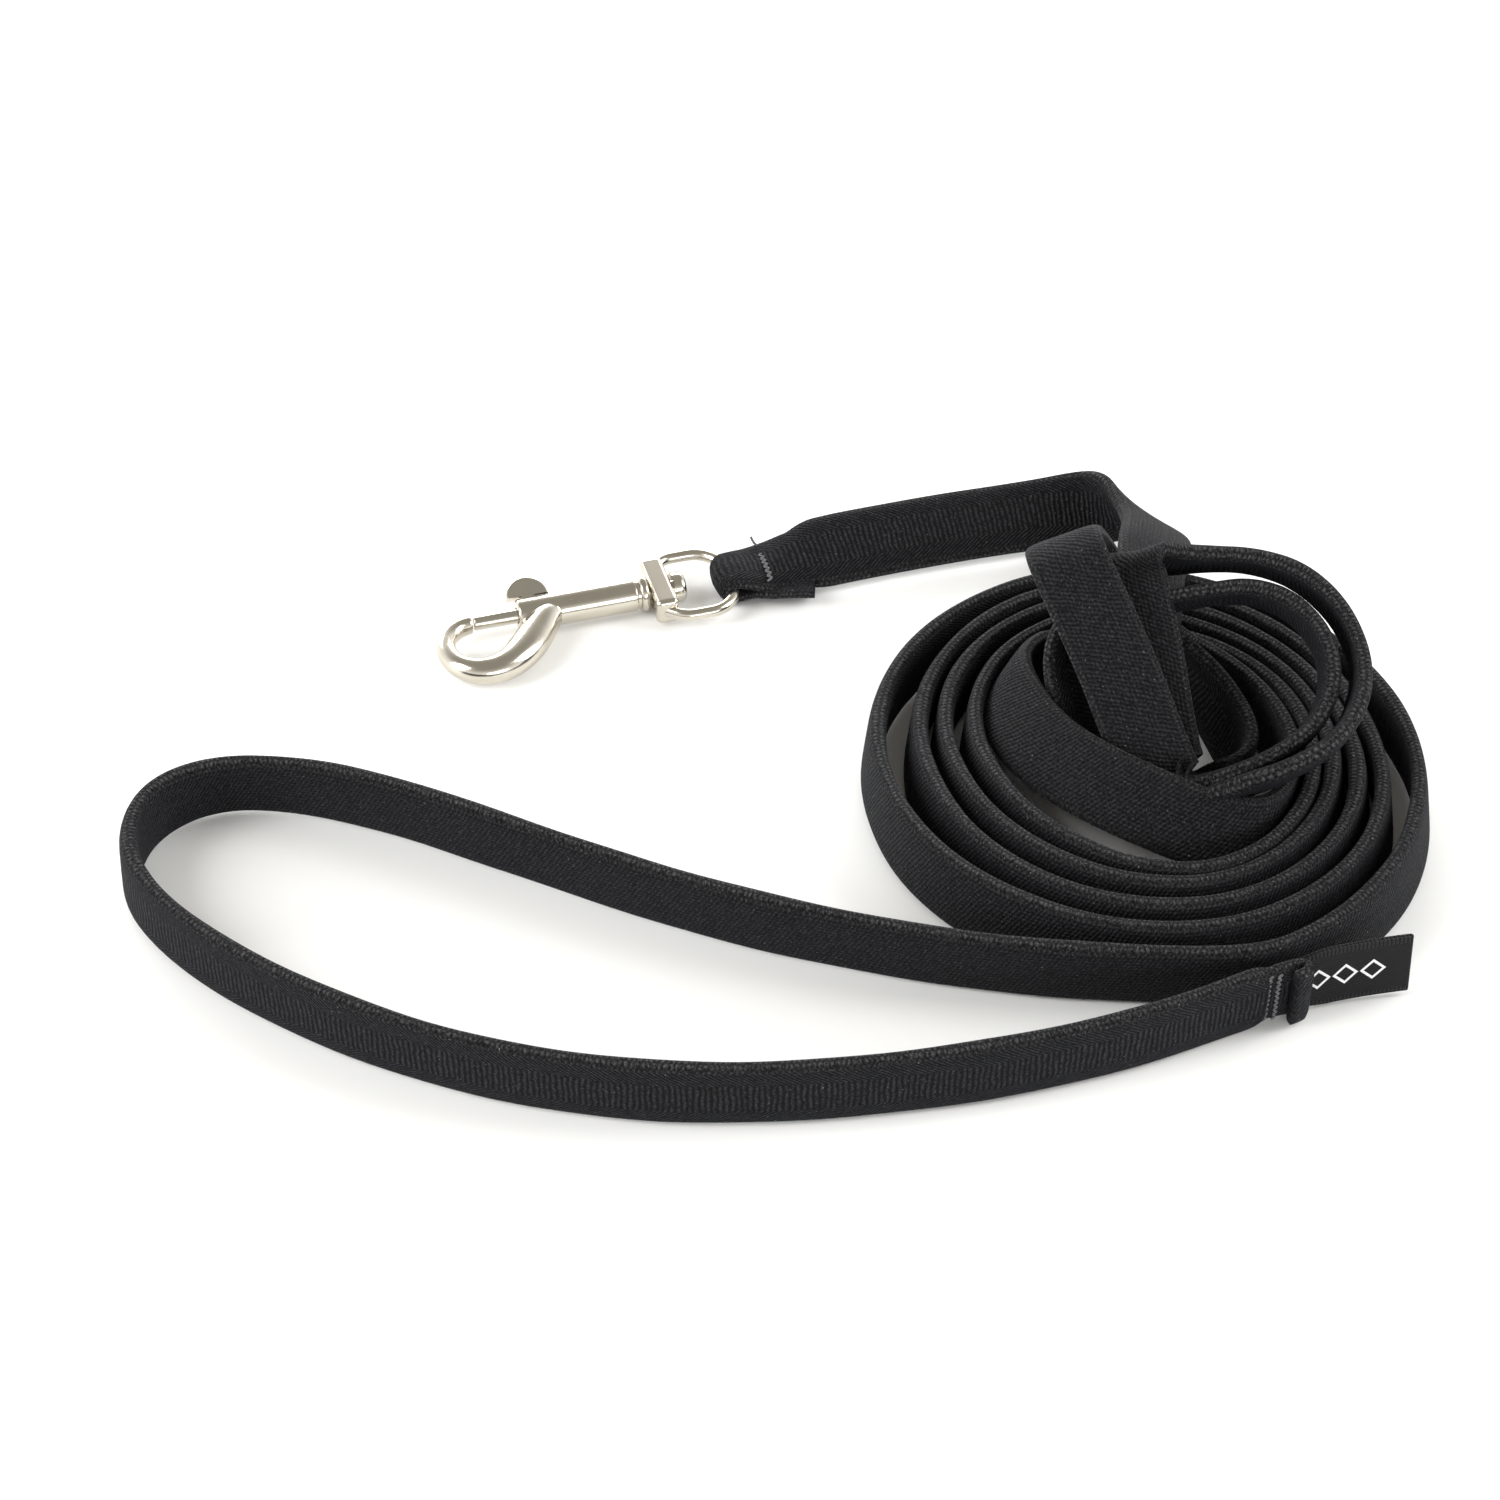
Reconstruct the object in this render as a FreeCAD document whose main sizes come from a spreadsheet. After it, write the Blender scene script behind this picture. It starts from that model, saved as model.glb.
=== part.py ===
"""Training leash laid out for storage: a narrow woven strap with a bolt snap and a sewn hand loop.

Frame: millimetres, +Z up, floor at Z = 0. The origin lies on the floor under the middle of the bolt
snap, and +X runs along the snap from its hook to its swivel eye. The snap's pieces are modelled about
the snap's own axis, and then moved to axis_y and axis_height.
"""
import FreeCAD, Part
import math
import os

Vector = FreeCAD.Vector

# Driving sizes, in millimetres and degrees.
SIZES = {
    # webbing
    "strap_width": 15.0,
    "strap_thickness": 3.4,
    "pulled_thickness": 2.4,
    "gathered_width": 10.6,
    "bar_slack": 1.2,
    "loop_end_x": 38.2,
    # bolt snap, along its axis
    "axis_height": 3.75,
    "axis_y": 3.6,
    "barrel_front_x": -13.2,
    "barrel_radius": 3.25,
    "groove_x": 10.9,
    "groove_width": 0.7,
    "groove_depth": 0.35,
    "collar_radius": 3.6,
    "collar_round": 0.5,
    "barrel_rear_x": 13.2,
    "front_lip": 0.8,
    "rear_wall": 1.7,
    "slide_clearance": 0.07,
    # bolt, thumb knob and spring
    "bolt_radius": 1.45,
    "bolt_tip_x": -22.15,
    "tip_round": 0.4,
    "bolt_travel": 9.0,
    "plunger_radius": 2.05,
    "plunger_rear_x": -7.0,
    "knob_x": -10.3,
    "knob_radius": 4.3,
    "knob_thickness": 1.8,
    "knob_stem": 2.6,
    "knob_lift": 0.35,
    "knob_angle": 25.0,
    "knob_round": 0.6,
    "slot_clearance": 0.25,
    "spring_wire": 0.4,
    "spring_radius": 1.45,
    "spring_turns": 9.0,
    # swivel
    "plug_length": 3.0,
    "neck_radius": 1.6,
    "swivel_clearance": 0.06,
    "swivel_gap": 0.3,
    "plate_thickness": 4.6,
    "plate_height": 5.6,
    "plate_half_width": 7.4,
    "plate_round": 1.1,
    "head_radius": 3.1,
    "head_length": 2.6,
    "head_round": 1.2,
    # swivel eye
    "eye_wire_radius": 1.2,
    "eye_half_width": 9.2,
    "eye_bar_x": 30.3,
    "eye_corner": 3.9,
    "eye_root_inset": 0.8,
    "eye_shoulder": 3.2,
    # main coil
    "coil_centre_x": 85.0,
    "coil_centre_y": -76.4,
    "coil_half_x": 47.7,
    "coil_half_y": 54.7,
    "mouth_centre_x": 92.0,
    "mouth_centre_y": -74.4,
    "mouth_half_x": 26.0,
    "mouth_half_y": 30.0,
    "coil_height": 16.5,
    # raised coil
    "top_centre_x": 101.0,
    "top_centre_y": -73.4,
    "top_centre_z": 29.0,
    "top_half_x": 32.0,
    "top_half_y": 25.0,
    "top_mouth_x": 9.0,
    "top_mouth_half_x": 18.0,
    "top_mouth_half_y": 16.0,
    "top_depth": 14.0,
    "top_turn": -16.0,
    "top_tilt": 26.0,
    # sewn ends and label
    "tack_width": 1.2,
    "tack_proud": 0.25,
    "tack_setback": 0.4,
    "hand_tack_x": 91.0,
    "hand_tack_y": -139.0,
    "hand_tack_height": 12.0,
    "tape_length": 26.5,
    "tape_thickness": 1.0,
    "tape_height": 13.5,
    "tape_lift": 0.3,
    "tape_y": -140.6,
}

# The strap's route on the floor, in millimetres: the middle of the strap, seen from above.
LEAD_ROUTE = [(38.2, 3.6), (48, 4.4), (62, 6.8), (77, 8.2), (91, 8.5), (102, 7.2), (110, 3), (115.5, -4.5),
              (118, -13.5), (118.5, -23.5), (118, -33.5), (116.5, -41.5)]
OUTER_TURN_ROUTE = [(89, -137.6), (99, -136), (109, -132), (119.5, -125), (129, -114), (135.5, -101),
                    (138, -86.5), (137, -72), (133, -58.5), (126, -47.5)]
HAND_LOOP_ROUTE = [(89, -137.6), (68, -130.5), (45, -121.5), (20, -107.5), (-2, -92), (-20, -76.5),
                   (-36, -61.5), (-50, -49), (-65, -39), (-81, -34), (-94, -39.5), (-100.5, -52.5),
                   (-97.5, -68.5), (-87, -86.5), (-72, -104), (-54, -119.5), (-33, -132), (-10, -140.5),
                   (16, -145.5), (42, -147.5), (66, -146.5), (89, -142)]

RUN_SHARE = 0.45    # how much of its shorter run an arc of a route takes up
BITE = 0.1          # how far one piece runs into the next before the two are joined or cut

doc = FreeCAD.newDocument("TrainingLeash")
sheet = doc.addObject("Spreadsheet::Sheet", "Sizes")
for row, (alias, value) in enumerate(SIZES.items(), start=1):
    sheet.set("A%d" % row, alias)
    sheet.set("B%d" % row, str(value))
    sheet.setAlias("B%d" % row, alias)
doc.recompute()

NODES = []


def size(alias):
    """Read one driving size from the sheet."""
    return float(sheet.get(alias))


def bind(item, **expressions):
    """Tie properties of a document object to expressions on the sheet's aliases."""
    for name, expression in expressions.items():
        item.setExpression(name, expression)
    return item


def place(item, x=None, y=None, z=None):
    """Tie the coordinates of an object's Placement to expressions."""
    for axis, expression in (("x", x), ("y", y), ("z", z)):
        if expression is not None:
            item.setExpression(".Placement.Base." + axis, expression)
    return item


def node(item, label):
    """Name a finished sub-part, which is written to a file of that name."""
    item.Label = label
    NODES.append(item)
    return item


def rod(name, radius, start, end):
    """A cylinder along X between two expressions, centred on the snap's axis."""
    item = doc.addObject("Part::Cylinder", name)
    item.Placement = FreeCAD.Placement(Vector(0, 0, 0), FreeCAD.Rotation(Vector(0, 1, 0), 90))
    bind(item, Radius=radius, Height="(%s) - (%s)" % (end, start))
    return place(item, x=start)


def block(name, length, width, height, x, y, z):
    """A box whose sizes and lowest corner are expressions."""
    item = doc.addObject("Part::Box", name)
    bind(item, Length=length, Width=width, Height=height)
    return place(item, x=x, y=y, z=z)


def fuse(name, pieces):
    """Join several objects into one solid."""
    item = doc.addObject("Part::MultiFuse", name)
    item.Shapes = pieces
    item.Refine = True
    return item


def cut(name, base, tool):
    """Take one object away from another."""
    item = doc.addObject("Part::Cut", name)
    item.Base = base
    item.Tool = tool
    return item


def rounded(name, base, radius, picks):
    """Round those edges of an object whose middle point passes a test."""
    doc.recompute()
    item = doc.addObject("Part::Fillet", name)
    item.Base = base
    numbered = enumerate(base.Shape.Edges, start=1)
    item.Edges = [(number, radius, radius) for number, edge in numbered if picks(edge)]
    return item


def shaped(name, shape):
    """Hold a shape that has been worked out with Part's own functions."""
    item = doc.addObject("Part::Feature", name)
    item.Shape = shape
    return item


def on_axis(item):
    """Move a piece that is modelled about the snap's own axis to where that axis lies."""
    return place(item, y="Sizes.axis_y", z="Sizes.axis_height")


class Route:
    """Straight runs joined by tangent arcs, each as large as the shorter of its two runs allows."""

    def __init__(self, points):
        corners = [Vector(x, y, 0) for x, y in points]
        self.pieces = []
        self.radii = []
        start = corners[0]
        for before, corner, after in zip(corners, corners[1:], corners[2:]):
            into = (corner - before).normalize()
            out = (after - corner).normalize()
            turn = into.getAngle(out)
            reach = RUN_SHARE * min((corner - before).Length, (after - corner).Length)
            radius = reach / math.tan(turn / 2)
            side = 1 if into.cross(out).z > 0 else -1
            first = corner - into * reach
            last = corner + out * reach
            centre = first + Vector(-into.y, into.x, 0) * (side * radius)
            middle = centre + (corner - centre).normalize() * radius
            self.pieces.append(("run", start, first, into))
            self.pieces.append(("arc", first, middle, last, centre))
            self.radii.append(radius)
            start = last
        self.pieces.append(("run", start, corners[-1], (corners[-1] - start).normalize()))

    def side_edges(self, offset):
        """The edges of the route moved sideways, to its left where the offset is positive."""
        edges = []
        for piece in self.pieces:
            if piece[0] == "run":
                shift = Vector(-piece[3].y, piece[3].x, 0) * offset
                edges.append(Part.LineSegment(piece[1] + shift, piece[2] + shift).toShape())
            else:
                first, middle, last, centre = piece[1:]
                left = (middle - first).cross(last - middle).z > 0
                radius = (first - centre).Length
                share = (radius - offset if left else radius + offset) / radius
                moved = [centre + (point - centre) * share for point in (first, middle, last)]
                edges.append(Part.Arc(*moved).toShape())
        return edges

    def length(self):
        """The length along the middle of the route."""
        return sum(edge.Length for edge in self.side_edges(0))

    def band(self, width, height):
        """The solid of a flat band that follows the route, standing on the floor."""
        left = self.side_edges(width / 2)
        right = self.side_edges(-width / 2)
        ends = []
        for number, parameter in ((0, "FirstParameter"), (-1, "LastParameter")):
            start = left[number].valueAt(getattr(left[number], parameter))
            end = right[number].valueAt(getattr(right[number], parameter))
            ends.append(Part.LineSegment(start, end).toShape())
        outline = Part.Wire(Part.__sortEdges__(left + right + ends))
        return Part.Face(outline).extrude(Vector(0, 0, height))


def hook_bend():
    """The cast hook: oval sections from the bolt's seat round to the barrel, on the snap's own axis."""
    # middle x and y, heading in degrees, half width in the hook's plane, half height
    stations = [
        (-22.4, 0.0, 183, 1.95, 1.95),
        (-25.6, -0.9, 207, 1.95, 2.0),
        (-28.2, -3.4, 243, 2.0, 2.1),
        (-29.1, -7.2, 270, 2.05, 2.2),
        (-28.1, -11.2, 299, 2.25, 2.35),
        (-25.2, -14.0, 333, 2.6, 2.55),
        (-21.2, -14.6, 3, 2.95, 2.75),
        (-17.2, -13.0, 34, 3.35, 2.95),
        (-13.8, -9.9, 48, 3.7, 3.1),
        (-10.8, -6.2, 49, 3.6, 3.15),
        (-7.6, -2.4, 42, 2.9, 3.1),
        (-5.2, -0.4, 30, 2.2, 2.4),
    ]
    rings = []
    for x, y, heading, half_width, half_height in stations:
        centre = Vector(x, y, 0)
        along = Vector(math.cos(math.radians(heading)), math.sin(math.radians(heading)), 0)
        across = Vector(-along.y, along.x, 0)
        wide, tall = across * half_width, Vector(0, 0, half_height)
        if half_height > half_width:
            wide, tall = tall, wide
        if abs(half_height - half_width) < 1e-6:
            curve = Part.Circle(centre, along, half_width)
        else:
            curve = Part.Ellipse(centre + wide, centre + tall, centre)
        rings.append(Part.Wire(curve.toShape()))
    return Part.makeLoft(rings, True, False)


def make_hook_body():
    """Barrel, rolled rear collar and cast hook, with the bolt's bore and the knob's slot cut through."""
    barrel = rod("Barrel", "Sizes.barrel_radius", "Sizes.barrel_front_x", "Sizes.groove_x")
    groove = rod("GrooveNeck", "Sizes.barrel_radius - Sizes.groove_depth", "Sizes.groove_x - %g" % BITE,
                 "Sizes.groove_x + Sizes.groove_width + %g" % BITE)
    collar = rod("RolledCollar", "Sizes.collar_radius", "Sizes.groove_x + Sizes.groove_width",
                 "Sizes.barrel_rear_x")
    rolled = rounded("RolledCollarEdges", collar, size("collar_round"),
                     lambda edge: len(edge.Vertexes) == 1)
    bend = shaped("HookBend", hook_bend())
    metal = fuse("HookMetal", [barrel, groove, rolled, bend])
    chamber = rod("SpringChamber", "Sizes.plunger_radius + Sizes.slide_clearance",
                  "Sizes.barrel_front_x + Sizes.front_lip", "Sizes.barrel_rear_x - Sizes.rear_wall")
    nose = rod("NoseHole", "Sizes.bolt_radius + Sizes.slide_clearance", "Sizes.barrel_front_x - 1.0",
               "Sizes.barrel_front_x + Sizes.front_lip + %g" % BITE)
    neck = rod("NeckHole", "Sizes.neck_radius", "Sizes.barrel_rear_x - Sizes.rear_wall - %g" % BITE,
               "Sizes.barrel_rear_x + %g" % BITE)
    slot = block("KnobSlotBox", "Sizes.knob_stem + Sizes.bolt_travel + 2 * Sizes.slot_clearance",
                 "Sizes.barrel_radius + 2.0", "Sizes.knob_thickness + 2 * Sizes.slot_clearance",
                 "Sizes.knob_x - Sizes.knob_stem / 2 - Sizes.slot_clearance", "0",
                 "-Sizes.knob_thickness / 2 - Sizes.slot_clearance")
    turned_slot = fuse("KnobSlot", [slot, rod("SlotRoot", "0.5", "Sizes.knob_x", "Sizes.knob_x + 1.0")])
    turned_slot.Placement = FreeCAD.Placement(Vector(0, 0, 0), FreeCAD.Rotation(Vector(1, 0, 0), 1))
    bind(turned_slot, **{".Placement.Rotation.Angle": "Sizes.knob_angle"})
    hollow = fuse("HookHollows", [chamber, nose, neck, turned_slot])
    return node(on_axis(cut("HookBody", metal, hollow)), "hook_body")


def make_bolt():
    """The sliding bolt: a thin rod in front and a fatter plunger that runs in the spring chamber."""
    front = rod("BoltRod", "Sizes.bolt_radius", "Sizes.bolt_tip_x", "Sizes.plunger_rear_x - 1.0")
    tip = rounded("BoltTip", front, size("tip_round"),
                  lambda edge: edge.CenterOfMass.x < size("bolt_tip_x") + BITE)
    plunger = rod("Plunger", "Sizes.plunger_radius",
                  "Sizes.barrel_front_x + Sizes.front_lip + Sizes.slot_clearance", "Sizes.plunger_rear_x")
    return node(on_axis(fuse("Bolt", [tip, plunger])), "bolt")


def make_thumb_knob():
    """A half-round tab on a flat stem, which stands out through the slot in the barrel."""
    tab = doc.addObject("Part::Cylinder", "KnobTab")
    tab.Angle = 180
    bind(tab, Radius="Sizes.knob_radius", Height="Sizes.knob_thickness")
    place(tab, x="Sizes.knob_x", y="Sizes.barrel_radius + Sizes.knob_lift", z="-Sizes.knob_thickness / 2")
    edge = rounded("KnobTabRim", tab, size("knob_round"),
                   lambda line: line.Curve.TypeId == "Part::GeomCircle")
    stem = block("KnobStem", "Sizes.knob_stem", "Sizes.barrel_radius + Sizes.knob_lift + 1.0",
                 "Sizes.knob_thickness", "Sizes.knob_x - Sizes.knob_stem / 2", "0.6",
                 "-Sizes.knob_thickness / 2")
    knob = fuse("ThumbKnob", [edge, stem])
    knob.Placement = FreeCAD.Placement(Vector(0, 0, 0), FreeCAD.Rotation(Vector(1, 0, 0), 1))
    bind(knob, **{".Placement.Rotation.Angle": "Sizes.knob_angle"})
    return node(on_axis(knob), "thumb_knob")


def make_return_spring():
    """The coil spring between the plunger and the swivel stud's plug."""
    wire = size("spring_wire")
    start = size("plunger_rear_x") + wire / 2
    end = size("barrel_rear_x") - size("rear_wall") - size("plug_length") - wire / 2
    pitch = (end - start) / size("spring_turns")
    spine = Part.makeHelix(pitch, end - start, size("spring_radius"))
    ring = Part.Circle(Vector(size("spring_radius"), 0, 0), Vector(0, 1, 0), wire / 2)
    section = Part.Wire(ring.toShape())
    coil = Part.Wire(spine).makePipeShell([section], True, True)
    spring = shaped("ReturnSpring", coil)
    spring.Placement = FreeCAD.Placement(Vector(start, 0, 0), FreeCAD.Rotation(Vector(0, 1, 0), 90))
    return node(on_axis(spring), "return_spring")


def make_swivel_stud():
    """The stud held in the barrel's end: a plug inside, a neck through the eye and a riveted head."""
    plug = rod("StudPlug", "Sizes.plunger_radius + Sizes.slide_clearance",
               "Sizes.barrel_rear_x - Sizes.rear_wall - Sizes.plug_length",
               "Sizes.barrel_rear_x - Sizes.rear_wall")
    plate_front = "Sizes.barrel_rear_x + Sizes.swivel_gap"
    head_start = plate_front + " + Sizes.plate_thickness + Sizes.swivel_gap"
    neck = rod("StudNeck", "Sizes.neck_radius", "Sizes.barrel_rear_x - Sizes.rear_wall - 0.5",
               head_start + " + 0.5")
    head = rod("StudHead", "Sizes.head_radius", head_start, head_start + " + Sizes.head_length")
    doc.recompute()
    far_end = head.Shape.BoundBox.XMax
    dome = rounded("StudDome", head, size("head_round"), lambda edge: edge.CenterOfMass.x > far_end - BITE)
    return node(on_axis(fuse("SwivelStud", [plug, neck, dome])), "swivel_stud")


def make_swivel_eye():
    """The D-shaped eye: a flat plate that turns on the stud and a wire bow that the strap goes round."""
    half, bar = size("eye_half_width"), size("eye_bar_x")
    front = size("barrel_rear_x") + size("swivel_gap")
    root = front + size("plate_thickness") / 2
    corner = size("eye_corner")
    side = [(root, size("plate_half_width") - size("eye_root_inset")), (root + size("eye_shoulder"), half),
            (bar - corner, half), (bar, half - corner)]
    path = Route(side + [(x, -y) for x, y in reversed(side)])
    spine = Part.Wire(Part.__sortEdges__(path.side_edges(0)))
    first = spine.OrderedEdges[0]
    start = Vector(*side[0], 0)
    along = first.tangentAt(first.FirstParameter)
    section = Part.Wire(Part.Circle(start, along, size("eye_wire_radius")).toShape())
    bow = shaped("EyeBow", spine.makePipeShell([section], True, False))
    plate = block("EyePlate", "Sizes.plate_thickness", "2 * Sizes.plate_half_width",
                  "Sizes.plate_height", "Sizes.barrel_rear_x + Sizes.swivel_gap",
                  "-Sizes.plate_half_width", "-Sizes.plate_height / 2")
    soft_plate = rounded("EyePlateEdges", plate, size("plate_round"), lambda edge: True)
    metal = fuse("EyeMetal", [soft_plate, bow])
    hole = rod("EyeHole", "Sizes.neck_radius + Sizes.swivel_clearance", "Sizes.barrel_rear_x",
               "Sizes.barrel_rear_x + 2 * Sizes.swivel_gap + Sizes.plate_thickness")
    return node(on_axis(cut("SwivelEye", metal, hole)), "swivel_eye")


def make_snap_loop():
    """The strap's end doubled round the eye's bar, tight up to the bar tack."""
    bar, height = size("eye_bar_x"), size("axis_height")
    radius = size("eye_wire_radius") + size("bar_slack")
    end, sewn = size("loop_end_x"), size("pulled_thickness")
    outline = Part.Wire([
        Part.Arc(Vector(bar, 0, 2 * height), Vector(bar - height, 0, height), Vector(bar, 0, 0)).toShape(),
        Part.LineSegment(Vector(bar, 0, 0), Vector(end, 0, height - sewn)).toShape(),
        Part.LineSegment(Vector(end, 0, height - sewn), Vector(end, 0, height + sewn)).toShape(),
        Part.LineSegment(Vector(end, 0, height + sewn), Vector(bar, 0, 2 * height)).toShape(),
    ])
    width = size("gathered_width")
    solid = Part.Face(outline).extrude(Vector(0, width, 0))
    hole = Part.makeCylinder(radius, width, Vector(bar, 0, height), Vector(0, 1, 0))
    loop = shaped("SnapLoop", solid.cut(hole))
    return node(place(loop, y="Sizes.axis_y - Sizes.gathered_width / 2"), "snap_loop")


def make_band(name, label, points, width, height):
    """A stretch of strap along a route, with its bends and its volume reported."""
    route = Route(points)
    item = shaped(name, route.band(width, height))
    expected = width * height * route.length()
    print("%s: length %.0f mm, radii %s, volume %.0f of %.0f" % (
        label, route.length(), " ".join("%.0f" % radius for radius in route.radii),
        item.Shape.Volume, expected))
    return node(item, label)


def oval(half_x, half_y, centre, depth):
    """An upright solid with an oval outline."""
    longer = max(half_x, half_y)
    shorter = min(half_x, half_y)
    ellipse = Part.Ellipse(Vector(0, 0, 0), longer, shorter)
    solid = Part.Face(Part.Wire(ellipse.toShape())).extrude(Vector(0, 0, depth))
    if half_y > half_x:
        solid.rotate(Vector(0, 0, 0), Vector(0, 0, 1), 90)
    solid.translate(centre)
    return solid


def make_main_coil():
    """The outer shape of the turns that stand on the floor, open in the middle."""
    centre = Vector(size("coil_centre_x"), size("coil_centre_y"), 0)
    mouth = Vector(size("mouth_centre_x"), size("mouth_centre_y"), -1)
    height = size("coil_height")
    outer = oval(size("coil_half_x"), size("coil_half_y"), centre, height)
    inner = oval(size("mouth_half_x"), size("mouth_half_y"), mouth, height + 2)
    return node(shaped("MainCoil", outer.cut(inner)), "main_coil")


def make_top_coil():
    """The outer shape of the two small turns that lean on the main coil, open in the middle."""
    depth = size("top_depth")
    outer = oval(size("top_half_x"), size("top_half_y"), Vector(0, 0, -depth / 2), depth)
    mouth = Vector(size("top_mouth_x"), 0, -depth / 2 - 1)
    inner = oval(size("top_mouth_half_x"), size("top_mouth_half_y"), mouth, depth + 2)
    coil = shaped("TopCoil", outer.cut(inner))
    turned = FreeCAD.Rotation(Vector(0, 0, 1), size("top_turn"))
    lean = turned * FreeCAD.Rotation(Vector(1, 0, 0), size("top_tilt"))
    coil.Placement = FreeCAD.Placement(Vector(0, 0, 0), lean)
    place(coil, x="Sizes.top_centre_x", y="Sizes.top_centre_y", z="Sizes.top_centre_z")
    return node(coil, "top_coil")


def make_sewn_parts():
    """The two bar tacks and the folded tape that is sewn in at the hand loop."""
    snap_tack = block("SnapTack", "Sizes.tack_width", "Sizes.gathered_width",
                      "2 * (Sizes.pulled_thickness + Sizes.tack_proud)",
                      "Sizes.loop_end_x - Sizes.tack_width - Sizes.tack_setback",
                      "Sizes.axis_y - Sizes.gathered_width / 2",
                      "Sizes.axis_height - Sizes.pulled_thickness - Sizes.tack_proud")
    node(snap_tack, "snap_bar_tack")
    hand_tack = block("HandTack", "2 * Sizes.tack_width",
                      "2 * Sizes.strap_thickness + 2 * Sizes.tack_proud",
                      "Sizes.hand_tack_height", "Sizes.hand_tack_x - 2 * Sizes.tack_width",
                      "Sizes.hand_tack_y - Sizes.strap_thickness - Sizes.tack_proud",
                      "(Sizes.strap_width - Sizes.hand_tack_height) / 2")
    node(hand_tack, "hand_bar_tack")
    tape = block("TapeLabel", "Sizes.tape_length", "Sizes.tape_thickness", "Sizes.tape_height",
                 "Sizes.hand_tack_x", "Sizes.tape_y - Sizes.tape_thickness / 2", "Sizes.tape_lift")
    node(tape, "woven_label")


def write_parts():
    """Check every object and every sub-part, then write one file for each sub-part."""
    doc.recompute()
    for item in doc.Objects:
        if "Invalid" in item.State or "Error" in item.State:
            raise RuntimeError("%s has not been worked out: %s" % (item.Name, item.State))
    for item in NODES:
        shape = item.Shape
        if shape.isNull() or not shape.isValid() or not shape.Solids:
            raise RuntimeError("%s is not a valid solid" % item.Label)
    os.makedirs("parts", exist_ok=True)
    for item in NODES:
        item.Shape.exportStep("parts/%s.step" % item.Label)
        print("%-16s %8.1f mm3  %s" % (item.Label, item.Shape.Volume, item.Shape.BoundBox))


def main():
    """Build the whole leash."""
    make_hook_body()
    make_bolt()
    make_thumb_knob()
    make_return_spring()
    make_swivel_stud()
    make_swivel_eye()
    make_snap_loop()
    thickness, width = size("strap_thickness"), size("strap_width")
    make_band("LeadStrap", "lead_strap", LEAD_ROUTE, width, thickness)
    make_top_coil()
    make_main_coil()
    make_band("OuterTurn", "outer_turn", OUTER_TURN_ROUTE, thickness, width)
    make_band("HandLoop", "hand_loop", HAND_LOOP_ROUTE, thickness, width)
    make_sewn_parts()
    write_parts()


main()
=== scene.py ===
"""Training leash: a narrow woven strap in a loose coil, with a bolt snap, a hand loop and a tape label.

Sizes are in millimetres, and become metres where a mesh is made.
"""
import logging
import math
from dataclasses import dataclass, field
from enum import Enum

import bmesh
import bpy
import numpy as np
from mathutils import Matrix, Vector


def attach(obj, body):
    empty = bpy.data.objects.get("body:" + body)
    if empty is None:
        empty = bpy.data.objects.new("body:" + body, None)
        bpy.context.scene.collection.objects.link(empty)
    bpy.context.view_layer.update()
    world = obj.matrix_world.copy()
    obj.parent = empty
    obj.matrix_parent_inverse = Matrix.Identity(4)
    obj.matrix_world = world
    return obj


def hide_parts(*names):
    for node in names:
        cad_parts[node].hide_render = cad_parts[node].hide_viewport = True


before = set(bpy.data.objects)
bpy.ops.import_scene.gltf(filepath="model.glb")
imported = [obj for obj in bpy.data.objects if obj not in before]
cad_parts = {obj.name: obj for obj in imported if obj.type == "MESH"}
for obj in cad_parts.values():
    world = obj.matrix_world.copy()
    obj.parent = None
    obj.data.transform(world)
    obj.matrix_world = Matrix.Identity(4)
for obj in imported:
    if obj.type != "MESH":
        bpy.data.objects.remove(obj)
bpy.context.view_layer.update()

MM = 0.001
LOG = logging.getLogger("leash")
logging.basicConfig(level=logging.INFO, format="%(message)s")


class Motion(Enum):
    """The CAD bodies that the pieces made here move with."""

    STRAP = "root"
    SNAP = "snap"


# ---------------------------------------------------------------- colours and nodes

def linear(hex_colour: str) -> tuple[float, float, float, float]:
    """Turn an sRGB hex value into linear RGBA.

    Args:
        hex_colour: six hex digits, such as "1a1a1c".

    Returns:
        Linear red, green and blue, with an alpha of 1.
    """
    parts = [int(hex_colour[i:i + 2], 16) / 255 for i in (0, 2, 4)]
    return (*[c / 12.92 if c <= 0.04045 else ((c + 0.055) / 1.055) ** 2.4 for c in parts], 1.0)


def add(tree: bpy.types.NodeTree, kind: str, links: dict | None = None, **settings: object) -> bpy.types.Node:
    """Add one node with its settings and its incoming links.

    Args:
        tree: the node tree of a material or world.
        kind: the node's type name.
        links: input name or number to an output socket, a number or a colour.
        settings: properties of the node itself.

    Returns:
        The new node.
    """
    item = tree.nodes.new(kind)
    for name, value in settings.items():
        setattr(item, name, value)
    for name, value in (links or {}).items():
        if isinstance(value, bpy.types.NodeSocket):
            tree.links.new(value, item.inputs[name])
        else:
            item.inputs[name].default_value = value
    return item


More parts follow.
